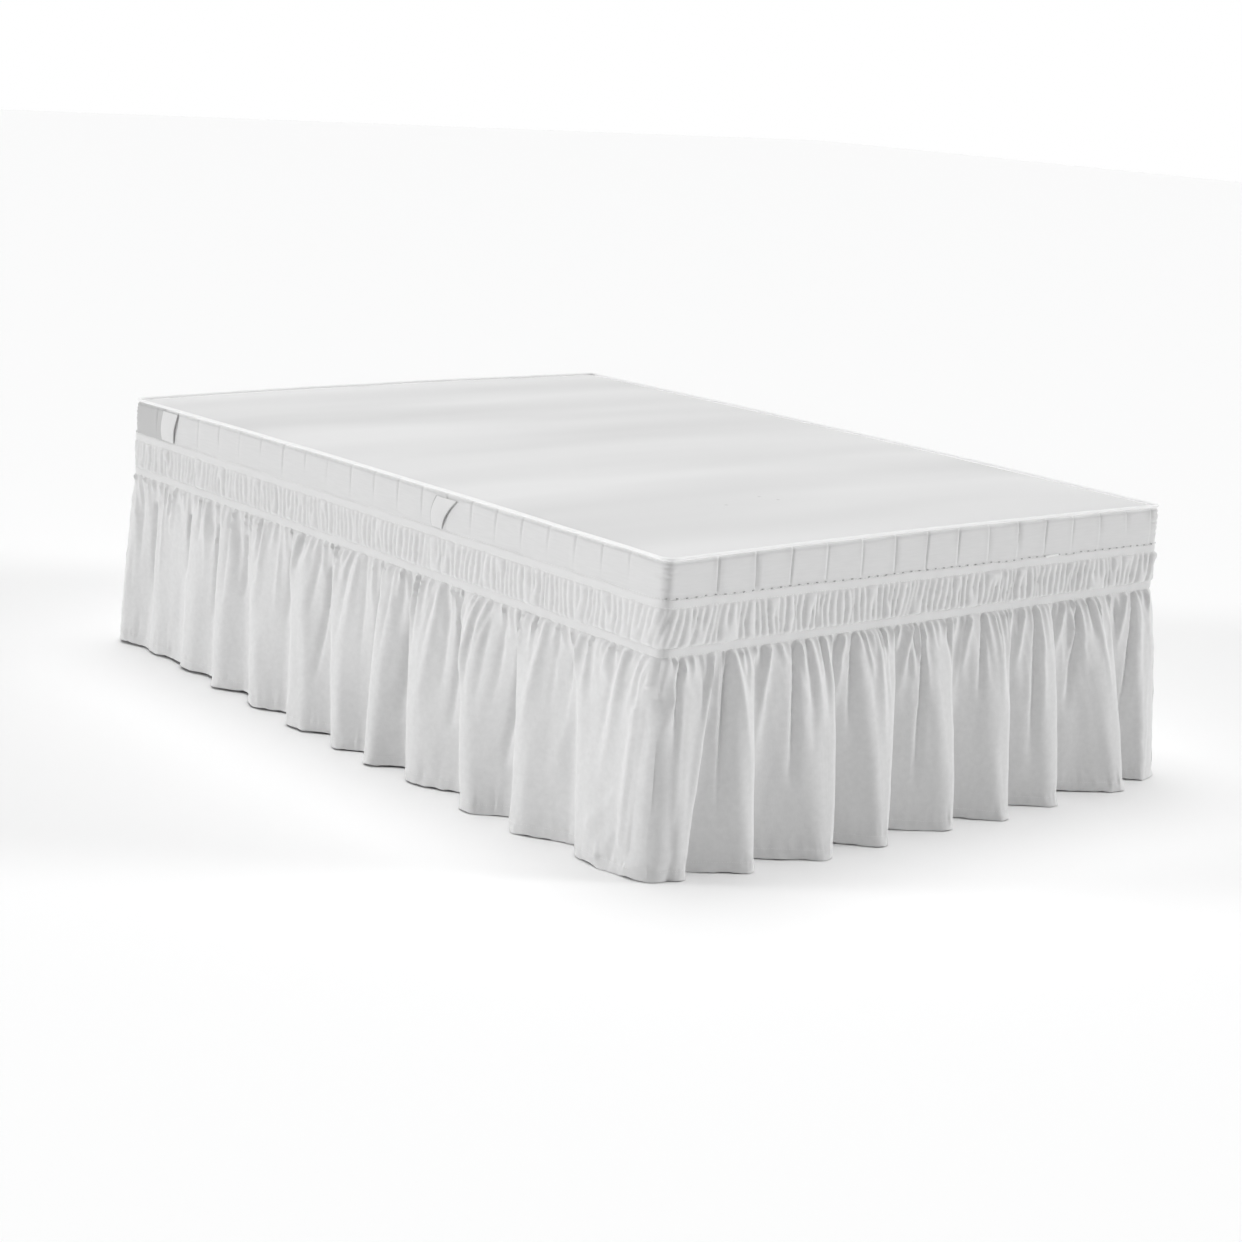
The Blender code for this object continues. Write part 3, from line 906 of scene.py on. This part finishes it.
def rib_relief(s, levels):
    """How far the ribs stand out, round the bed at each level between the two bands."""
    chance = np.random.default_rng(21)
    count = int(GIRTH / RIB_PITCH)
    pitches = chance.uniform(0.66, 1.34, count)
    lines = running_total(pitches)[:-1] * GIRTH / pitches.sum()
    order = np.arange(count)

    def drift(cell, size, seed):
        wave = line_noise(order, cell, seed)
        return size * wave * ease(order / 4) * ease((count - 1 - order) / 4)

    lean = drift(5.0, 0.0110, 71) + drift(2.0, 0.0055, 72) + 0.0022
    lean += 0.020 * bell(np.minimum(lines, GIRTH - lines), 0.10)
    bend = drift(1.7, 0.0062, 73)
    heights = np.tile(chance.uniform(*RIB_HEIGHTS, count), 3)
    fork = chance.uniform(0, 1, count)
    relief = np.zeros((len(levels), len(s)))
    for row, level in enumerate(levels):
        at = lines + lean * (level - 0.5) + bend * math.sin(math.pi * min(max(level, 0), 1))
        at = np.maximum.accumulate(at + order * 1e-6)
        valleys = np.concatenate([at - GIRTH, at, at + GIRTH])
        deep = np.where(fork < 0.16, ease((level - 0.20) / 0.4), 1.0)
        deep = np.where((fork >= 0.16) & (fork < 0.32), 1 - ease((level - 0.45) / 0.4), deep)
        deep = np.tile(deep, 3)
        k = np.searchsorted(valleys, s, side="right") - 1
        gap = valleys[k + 1] - valleys[k]
        width = np.minimum(RIB_WIDTH, 0.34 * gap)
        cut_left = deep[k] * np.exp(-(((s - valleys[k]) / width) ** 1.35))
        cut_right = deep[k + 1] * np.exp(-(((valleys[k + 1] - s) / width) ** 1.35))
        height = np.interp(s, valleys, heights) * np.clip(gap / 0.014, 0.55, 1.0)
        relief[row] = height * np.clip(1 - cut_left - cut_right, 0, 1)
    return relief


def make_heading(material):
    """The shirred heading: upright ribs between the two bands, some forked or leaning."""
    numbers, places = girth_line(RIB_STEP)
    s = round_bed(numbers, places)
    tall = UPPER_BAND_BOTTOM - LOWER_BAND_TOP
    up = np.concatenate([[-0.004, 0.0, 0.0025], np.linspace(0.006, tall - 0.006, 9),
                         [tall - 0.0025, tall, tall + 0.004]])[:, None]
    share = up / tall
    relief = rib_relief(s, share[:, 0]) * np.where(numbers % 2, LONG_SIDE_RIBS, 1.0)
    relief += 0.0006 * soft_noise(s, up, 0.045, 0.05, 22)
    relief += 0.0008 * soft_noise(s + 0.4 * up, up, 0.011, 0.014, 23)
    pinch = ease((share + 0.02) / 0.09) * ease((1.02 - share) / 0.09)
    plan = around(numbers, places, HEADING_OUT + pinch * relief)
    height = LOWER_BAND_TOP + up + band_rise(plan) * share
    points = stand(plan, height)[::-1]
    piece = shell("skirt_heading", points, HEADING_THICKNESS, material, loop=True,
                  uv=(s[None, :] * HEADING_FULLNESS, up[::-1]))
    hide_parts("heading")
    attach(piece, "root")


def make_band(name, node, bottom, rises, material, seed, stitches):
    """A woven elastic laid over the gathers, a little uneven where they push it out."""
    numbers, places = girth_line(0.0070)
    s = round_bed(numbers, places)
    across = np.array([0, 0.0006, 0.0020, 0.0050, 0.0087, 0.0125, 0.0155, 0.0169, BAND_WIDTH])
    rounded = np.array([0.0016, 0.0008, 0.0003, 0, 0, 0, 0.0004, 0.0010, 0.0020])[:, None]
    up = across[:, None]
    push = soft_noise(s, up, 0.017, 0.030, seed)
    waver = line_noise(s, 0.060, seed + 1)
    nibble = soft_noise(s, up, 0.012, 0.012, seed + 2)
    out = BAND_OUT - rounded + 0.0008 * push + 0.0003 * waver
    plan = around(numbers, places, out)
    height = bottom + up + 0.0010 * waver + 0.0011 * nibble * np.abs(2 * up / BAND_WIDTH - 1)
    if rises:
        height = height + band_rise(plan)
    points = stand(plan, height)[::-1]
    piece = shell(name, points, BAND_THICKNESS, material, loop=True,
                  uv=(s[None, :], up[::-1]))
    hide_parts(node)
    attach(piece, "root")
    normals = grid_normals(points, True)
    for row in (2, 6):
        stitches.append((points[row] + normals[row] * 0.0001, normals[row]))
    return points, normals


# Threads and cords: what repeats along a line or follows it


def new_tree(name, inputs):
    """A geometry tree, its input and output nodes, and each named input's socket identifier."""
    tree = bpy.data.node_groups.new(name, "GeometryNodeTree")
    sockets = {}
    for label, kind, default in (("Geometry", "NodeSocketGeometry", None), *inputs):
        socket = tree.interface.new_socket(label, in_out="INPUT", socket_type=kind)
        if default is not None:
            socket.default_value = default
        sockets[label] = socket.identifier
    tree.interface.new_socket("Geometry", in_out="OUTPUT", socket_type="NodeSocketGeometry")
    given = tree.nodes.new("NodeGroupInput").outputs
    result = tree.nodes.new("NodeGroupOutput").inputs
    return tree, sockets, given, result


def finish_tree(tree, geometry, material, result):
    """Makes what a tree lays real and of one material."""
    whole = add_node(tree, "GeometryNodeRealizeInstances", {"Geometry": geometry})
    finish = add_node(tree, "GeometryNodeSetMaterial",
                      {"Geometry": whole.outputs["Geometry"], "Material": material})
    tree.links.new(finish.outputs["Geometry"], result["Geometry"])


def stitch_tree():
    """Lays threads along a seam line: each short and rounded, and turned a little unevenly."""
    tree, sockets, given, result = new_tree("stitch_row", (
        ("Spacing", "NodeSocketFloat", 0.005),
        ("Thread Size", "NodeSocketVector", (0.0018, 0.0004, 0.0003)),
        ("Slant", "NodeSocketFloat", 0.0),
        ("Seed", "NodeSocketInt", 1),
        ("Thread", "NodeSocketMaterial", None),
    ))
    curve = add_node(tree, "GeometryNodeMeshToCurve", {"Mesh": given["Geometry"]})
    evenly = add_node(tree, "GeometryNodeResampleCurve",
                      {"Curve": curve.outputs["Curve"], "Length": given["Spacing"]},
                      mode="LENGTH")
    outward = add_node(tree, "GeometryNodeInputNamedAttribute", {"Name": "outward"},
                       data_type="FLOAT_VECTOR")
    tangent = add_node(tree, "GeometryNodeInputTangent")
    turn = add_node(tree, "FunctionNodeAxesToRotation",
                    {"Primary Axis": outward.outputs["Attribute"],
                     "Secondary Axis": tangent.outputs["Tangent"]},
                    primary_axis="Z", secondary_axis="X")
    uneven = add_node(tree, "FunctionNodeRandomValue",
                      {2: -0.16, 3: 0.16, "Seed": given["Seed"]}, data_type="FLOAT")
    angle = add_node(tree, "ShaderNodeMath", {0: given["Slant"], 1: uneven.outputs[1]},
                     operation="ADD")
    spin = add_node(tree, "FunctionNodeAxisAngleToRotation",
                    {"Axis": (0, 0, 1), "Angle": angle.outputs[0]})
    slant = add_node(tree, "FunctionNodeRotateRotation",
                     {"Rotation": turn.outputs["Rotation"],
                      "Rotate By": spin.outputs["Rotation"]}, rotation_space="LOCAL")
    stitch = add_node(tree, "GeometryNodeMeshUVSphere", {"Segments": 5, "Rings": 3})
    row = add_node(tree, "GeometryNodeInstanceOnPoints",
                   {"Points": evenly.outputs["Curve"], "Instance": stitch.outputs["Mesh"],
                    "Rotation": slant.outputs["Rotation"], "Scale": given["Thread Size"]})
    finish_tree(tree, row.outputs["Instances"], given["Thread"], result)
    return tree, sockets


def cord_tree():
    """Draws a round cord along a closed line."""
    tree, sockets, given, result = new_tree("round_cord", (
        ("Radius", "NodeSocketFloat", 0.003),
        ("Sides", "NodeSocketInt", 14),
        ("Cover", "NodeSocketMaterial", None),
    ))
    curve = add_node(tree, "GeometryNodeMeshToCurve", {"Mesh": given["Geometry"]})
    section = add_node(tree, "GeometryNodeCurvePrimitiveCircle",
                       {"Radius": given["Radius"], "Resolution": given["Sides"]})
    sweep = add_node(tree, "GeometryNodeCurveToMesh",
                     {"Curve": curve.outputs["Curve"],
                      "Profile Curve": section.outputs["Curve"]})
    finish_tree(tree, sweep.outputs["Mesh"], given["Cover"], result)
    return tree, sockets


def along_lines(name, lines, closed, tree, sockets, values):
    """A piece that a tree lays along lines; each point also has its outward direction."""
    verts, edges, outward = [], [], []
    for points, normals in lines:
        first = len(verts)
        verts += [tuple(p) for p in points]
        outward += [tuple(n) for n in normals]
        edges += [(first + i, first + i + 1) for i in range(len(points) - 1)]
        if closed:
            edges.append((first + len(points) - 1, first))
    line = bpy.data.meshes.new(name)
    line.from_pydata(verts, edges, [])
    layer = line.attributes.new("outward", "FLOAT_VECTOR", "POINT")
    layer.data.foreach_set("vector", np.array(outward, np.float32).ravel())
    piece = add_object(name, line)

    modifier = piece.modifiers.new(tree.name, "NODES")
    modifier.node_group = tree
    for label, value in values.items():
        modifier[sockets[label]] = value
    graph = bpy.context.evaluated_depsgraph_get()
    mesh = bpy.data.meshes.new_from_object(piece.evaluated_get(graph))
    piece.modifiers.clear()
    piece.data = mesh
    mesh.name = name
    mesh.shade_smooth()
    return piece


def sew(row, name, lines, closed, material, spacing, size, slant=0.0, seed=1):
    """Stitches along seam lines; `row` is the stitch tree and its sockets."""
    piece = along_lines(name, lines, closed, *row, {
        "Spacing": spacing, "Thread Size": size, "Slant": slant, "Seed": seed,
        "Thread": material,
    })
    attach(piece, "root")


def make_piping(material):
    numbers, places = girth_line(PIPING_STEP)
    run = np.arange(len(places)) * PIPING_STEP
    plan = around(numbers, places, -0.0002 + 0.0004 * line_noise(run, 0.11, 31))
    height = BED_HEIGHT - PIPING_RADIUS + 0.0004 * line_noise(run, 0.16, 32) + top_rise(plan)
    points = stand(plan, height)
    upward = points * 0 + (0, 0, 1)
    piece = along_lines("mattress_piping", [(points, upward)], True, *cord_tree(), {
        "Radius": PIPING_RADIUS, "Sides": PIPING_SIDES, "Cover": material,
    })
    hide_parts("piping")
    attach(piece, "root")


# The mattress


def make_mattress_block(material):
    """The padded block under the border: a softly uneven top, rounded in to the piping."""
    half = np.array((BED_WIDTH / 2 - BLOCK_INSET, BED_LENGTH / 2 - BLOCK_INSET))
    radius = CORNER_RADIUS - BLOCK_INSET
    edge = np.array([0.0, 0.0012, 0.003, 0.006, 0.010, 0.015, 0.021, 0.027])

    def ticks(extent):
        middle = np.linspace(-extent + 0.045, extent - 0.045, int(2 * extent / 0.022))
        return np.concatenate([-extent + edge, middle, (extent - edge)[::-1]])

    def rolled(inset, reach, drop):
        """How far an edge falls off in a quarter circle."""
        roll = np.clip(1 - inset / reach, 0, 1)
        return drop * (1 - np.sqrt(1 - roll**2))

    x, y = np.meshgrid(ticks(half[0]), ticks(half[1]))
    over_x = np.clip((np.abs(x) - (half[0] - radius)) / radius, 0, 1)
    over_y = np.clip((np.abs(y) - (half[1] - radius)) / radius, 0, 1)
    round_x = over_x * np.sqrt(1 - over_y**2 / 2)
    round_y = over_y * np.sqrt(1 - over_x**2 / 2)
    x = np.where(over_x > 0, np.sign(x) * (half[0] - radius + radius * round_x), x)
    y = np.where(over_y > 0, np.sign(y) * (half[1] - radius + radius * round_y), y)
    inset = np.where((over_x > 0) & (over_y > 0), radius * (1 - np.hypot(round_x, round_y)),
                     np.minimum(half[0] - np.abs(x), half[1] - np.abs(y)))
    inset = np.clip(inset, 0, None)
    streak = soft_noise(x * 0.35 + y, x, 0.16, 0.55, 41) * 0.0020
    streak += soft_noise(x * 0.25 + y, x, 0.055, 0.40, 42) * 0.0006
    crown = TOP_CROWN * ease(inset / 0.16)
    dip = 0.0035 * np.exp(-inset / 0.014)
    top = BED_HEIGHT - 0.0036 + crown - dip + streak * ease(inset / 0.06)
    top += top_rise(np.stack([x, y], 2)) - rolled(inset, 0.008, 0.006)
    bottom = MATTRESS_BOTTOM + 0.0015 + rolled(inset, 0.006, 0.004)

    rows, columns = x.shape
    index = np.arange(rows * columns).reshape(rows, columns)
    quads = np.stack([index[:-1, :-1], index[:-1, 1:], index[1:, 1:], index[1:, :-1]], 2)
    quads = quads.reshape(-1, 4)
    shift = rows * columns
    rim = np.concatenate([index[0, :-1], index[:-1, -1], index[-1, :0:-1], index[:0:-1, 0]])
    after = np.roll(rim, -1)
    sides = np.stack([rim + shift, after + shift, after, rim], 1)
    verts = np.concatenate([np.stack([x, y, z], 2).reshape(-1, 3) for z in (top, bottom)])
    faces = np.concatenate([quads, quads[:, ::-1] + shift, sides])
    piece = add_mesh("mattress_block", verts, faces, material, 50)
    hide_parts("mattress")
    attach(piece, "root")


Tuck = namedtuple("Tuck", "side at depth reach sway")


def border_columns():
    """The border's columns, as side numbers and places, and its tucks at even steps."""
    near = (-0.0105, -0.0065, -0.0038, -0.0016, 0.0002, 0.0016, 0.0030, 0.0046, 0.0075)
    by_corner = 0.036
    chance = np.random.default_rng(51)
    numbers, places, tucks = [], [], []
    for number, side in enumerate(SIDES):
        end = seam_at(side)
        last = side.half_length - 0.033
        first = FIRST_TUCK - math.floor((last + FIRST_TUCK) / TUCK_PITCH) * TUCK_PITCH
        spots = [first + k * TUCK_PITCH * (1 - TUCK_CREEP * k) for k in range(30)]
        spots = [spot + chance.uniform(-0.001, 0.001) for spot in spots if spot < last]
        turn = np.linspace(0, by_corner, 10, endpoint=False)
        grid = [*(-end + turn), *np.arange(-end + by_corner, end - by_corner, 0.0125),
                *(end - by_corner + turn)]
        grid = [g for g in grid if min(abs(g - t) for t in spots) > 0.012]
        grid = sorted(grid + [float(t + d) for t in spots for d in near])
        numbers += [number] * len(grid)
        places += grid
        firm, long = (1.0, 1.0) if along_foot_or_head(side) else LONG_SIDE_TUCKS
        for t in spots:
            shorter = 1 - 0.25 * firm * (1 + t / side.half_length)
            tucks.append(Tuck(number, t, firm * chance.uniform(0.6, 1.25),
                              long * shorter * chance.uniform(0.8, 1.05),
                              chance.uniform(-0.003, 0.003)))
    return np.array(numbers), np.array(places), tucks


def crease_relief(numbers, places, down):
    """The creases that run across the border at the corners."""
    s = round_bed(numbers, places)
    past = np.array([(abs(p) - seam_at(SIDES[n])) * -math.copysign(1.0, p)
                     for n, p in zip(numbers, places)])
    relief = 0
    for height, depth, middle, reach in CORNER_CREASES:
        below = down - height - line_noise(s, 0.02, int(height * 1e4)) * 0.002
        lip = 0.5 * bell(below - 0.005, 0.004)
        relief = relief + depth * (lip - bell(below, 0.0020)) * bell(past - middle, reach)
    return relief


def make_border(material):
    """The mattress's border, tucked at even steps and creased round its corners."""
    numbers, places, tucks = border_columns()
    s = round_bed(numbers, places)
    high, low = BED_HEIGHT - 0.0065, MATTRESS_BOTTOM + 0.004
    seen = 0.064
    z = np.concatenate([np.linspace(high, high - seen, 26), high - seen - np.array(
        [0.003, 0.006, 0.010, 0.015, 0.022, 0.032, 0.060]), [low]])[:, None]
    down = high - z
    out = np.zeros((len(z), len(s)))
    for tuck in tucks:
        on_side = numbers == tuck.side
        away = places[on_side][None, :] - tuck.at - tuck.sway * np.sin(down * 30)
        fade = ease((TUCK_REACH * tuck.reach - down) / 0.05) * 0.85 + 0.15
        fold = TUCK_RIDGE * bell(away + 0.0035, 0.0040) - TUCK_DEPTH * bell(away - 0.0022, 0.0026)
        out[:, on_side] += tuck.depth * fade * fold
    out += crease_relief(numbers, places, down)
    out += BELLY * np.sin(np.clip(down / BELLY_HEIGHT, 0, 1) * math.pi)
    out += 0.0006 * soft_noise(s, down, 0.05, 0.06, 52)
    out += 0.00035 * soft_noise(s, down, 0.018, 0.03, 53)
    below = UPPER_BAND_TOP + band_rise(around(numbers, places, 0.0)) - z
    pressed = ease((below + 0.006) / 0.006)
    tucked = ease((below - 0.006) / 0.005)
    under_band = BORDER_AT_BAND * (1 - tucked) - 0.0010 * tucked
    out = out * (1 - pressed) + under_band * pressed
    out -= 0.0050 * bell(down, 0.0045)
    out = np.minimum(out, BORDER_LIMIT + 0.0004 * pressed)
    plan = around(numbers, places, out)
    height = z + top_rise(plan) * np.clip(1 - down / 0.06, 0, 1)
    points = stand(plan, height)
    piece = shell("mattress_border", points, BORDER_THICKNESS, material, loop=True, smooth=70)
    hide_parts("mattress")
    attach(piece, "root")


def make_handle(side, number, place, taper, slant, material):
    """One upright handle, sewn down at its top and under the belt, and bowed between."""
    toward_foot = 1 if side.name == "left" else -1
    middle = toward_foot * side.half_length * (1 - 2 * place)
    across = np.array([-1, -0.97, -0.9, -0.6, -0.3, 0, 0.3, 0.6, 0.9, 0.97, 1.0])[None, :]
    edge = np.array([0.0006, 0.0002, 0, 0, 0, 0, 0, 0, 0, 0.0002, 0.0006])[None, :]
    share = np.linspace(0, 1, 30)[:, None]
    low = float(UPPER_BAND_TOP + 0.002 + band_rise(plan_points(side, middle, 0.0)))
    arc = np.sin(math.pi * share**1.25)
    crease = 0.0007 * np.cos(across * 8) * arc
    curl = 0.0012 * across**2 * arc
    out = HANDLE_OUT + HANDLE_BOW * arc - edge + crease - curl
    slide = slant * (1 - (1 - share) ** 2)
    at = middle + toward_foot * (0.006 - slide)
    plan = plan_points(side, at + across * HANDLE_WIDTH / 2 * (1 - taper * share), out)
    height = np.broadcast_to(HANDLE_TOP - (HANDLE_TOP - low) * share, out.shape)
    points = stand(plan, height)
    piece = shell(f"webbing_{side.name}_{number}", points, HANDLE_THICKNESS, material,
                  uv=(across * HANDLE_WIDTH / 2, share * 0.09))
    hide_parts(f"handle_{side.name}_{number}")
    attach(piece, "root")


def finish_base():
    """New materials on the base and its feet, which keep their own meshes."""
    cover, plastic = base_cover(), moulded_plastic()
    for name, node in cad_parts.items():
        if name == "base" or name.startswith("base_foot"):
            node.data.materials.clear()
            node.data.materials.append(cover if name == "base" else plastic)


# The stage


def make_floor():
    far = FLOOR_REACH
    mesh = bpy.data.meshes.new("floor")
    mesh.from_pydata([(-far, -far, 0), (far, -far, 0), (far, far, 0), (-far, far, 0)], [],
                     [(0, 1, 2, 3)])
    mesh.materials.append(Finish("floor", 0.93, 0.9).material)
    floor = add_object("floor", mesh)


def add_sun(name, source, strength, spread):
    """A wide soft light from far off, in the direction of `source`."""
    light = bpy.data.lights.new(name, "SUN")
    light.energy = strength
    light.angle = math.radians(spread)
    lamp = add_object(name, light)
    lamp.rotation_euler = (-Vector(source)).to_track_quat("-Z", "Y").to_euler()


def light_stage():
    """Soft studio light: a pale room, bright near the horizon, and three wide lamps."""
    scene = bpy.context.scene
    scene.world = bpy.data.worlds.new("studio")
    scene.world.use_nodes = True
    tree = scene.world.node_tree
    way = add_node(tree, "ShaderNodeTexCoord").outputs["Generated"]
    split = add_node(tree, "ShaderNodeSeparateXYZ", {"Vector": way})
    fade = add_node(tree, "ShaderNodeMapRange", {
        "Value": split.outputs["Z"], "From Min": 0.07, "From Max": 0.22,
        "To Min": 1.0, "To Max": ROOM_LIGHT,
    }, interpolation_type="SMOOTHSTEP")
    room = tree.nodes["Background"]
    room.inputs["Color"].default_value = rgba(1)
    tree.links.new(fade.outputs["Result"], room.inputs["Strength"])
    scene.view_settings.view_transform = "Standard"
    add_sun("overhead", (0.05, 0.17, 1.0), 2.26, 50)
    add_sun("left", (-0.79, 0.56, 0.22), 1.31, 14)
    add_sun("right", (0.80, -0.55, 0.26), 1.40, 16)


def place_camera():
    yaw, pitch, roll = CAMERA_YAW, CAMERA_PITCH, CAMERA_ROLL
    ahead = Vector((-math.sin(yaw) * math.cos(pitch), math.cos(yaw) * math.cos(pitch),
                    -math.sin(pitch)))
    level = Vector((math.cos(yaw), math.sin(yaw), 0))
    upright = level.cross(ahead)
    right = level * math.cos(roll) + upright * math.sin(roll)
    up = upright * math.cos(roll) - level * math.sin(roll)
    lens = bpy.data.cameras.new("camera")
    lens.sensor_width = 36
    lens.sensor_fit = "HORIZONTAL"
    lens.lens = LENS
    camera = add_object("camera", lens)
    columns = (*right, 0), (*up, 0), (*-ahead, 0), (*CAMERA_PLACE, 1)
    camera.matrix_world = Matrix(columns).transposed()
    bpy.context.scene.camera = camera


def sew_belt_edge(row, edge, outward, white):
    """The upper band's edge stitches, grey dashes of painted shadow, and a span of brighter ones.
    """
    sew(row, "edge_stitches", [(edge, outward)], True, white, 0.0084,
        (0.0034, 0.0007, 0.0005), 0.10, seed=3)

    # Painted shadow: grey thread dashes on the foot and head sides stand for the shadows along the
    # band's top edge.
    long_side = np.abs(edge[:, 0]) > BED_WIDTH / 2
    breaks = np.flatnonzero(np.diff(long_side.astype(int))) + 1
    runs = [run for run in np.split(np.arange(len(edge)), breaks) if len(run) > 1]
    grey_dash_lines = [(edge[run] + outward[run] * 0.0008 + (0, 0, 0.0006), outward[run])
            for run in runs if not long_side[run[0]]]
    sew(row, "end_stitches", grey_dash_lines, False, thread(SHADOW_DASH_GREY), 0.0225,
        (0.0038, 0.0014, 0.0009), 0.05, seed=4)

    # A short span of brighter, denser stitches on the foot side.
    on_foot = edge[:, 1] < -BED_LENGTH / 2
    bright_span = np.flatnonzero(on_foot & (edge[:, 0] > BRIGHT_SPAN[0]) & (edge[:, 0] < BRIGHT_SPAN[1]))
    sew(row, "join_stitches", [(edge[bright_span] + outward[bright_span] * 0.0008, outward[bright_span])], False,
        thread(BRIGHT_THREAD), 0.0030, (0.0034, 0.0024, 0.0014), 0.5, seed=5)


def make_skirt():
    cloth, ribbed, white = skirt_cloth(), elastic(), thread(WHITE_THREAD)
    hem_lines, band_lines = [], []
    for side in SIDES:
        make_drop(side, cloth, hem_lines)
    make_heading(cloth)
    upper, normals = make_band("elastic_upper", "upper_band", UPPER_BAND_BOTTOM, True,
                               ribbed, 61, band_lines)
    make_band("elastic_lower", "lower_band", LOWER_BAND_BOTTOM, False, ribbed, 65, band_lines)
    row = stitch_tree()
    sew(row, "hem_stitches", hem_lines, False, white, 0.0048, (0.0017, 0.00045, 0.0004), seed=1)
    sew(row, "band_stitches", band_lines, True, white, 0.0068, (0.0020, 0.0005, 0.0004), seed=2)
    sew_belt_edge(row, upper[0] + normals[2] * 0.0007, normals[2], white)


def make_mattress():
    make_mattress_block(ticking())
    make_border(border_cloth())
    make_piping(cord_cover())
    webs = webbing()
    for side in SIDES:
        if not along_foot_or_head(side):
            for number, handle in enumerate(HANDLES, start=1):
                make_handle(side, number, *handle, webs)


def main():
    place_camera()
    make_floor()
    light_stage()
    make_skirt()
    make_mattress()
    finish_base()


main()
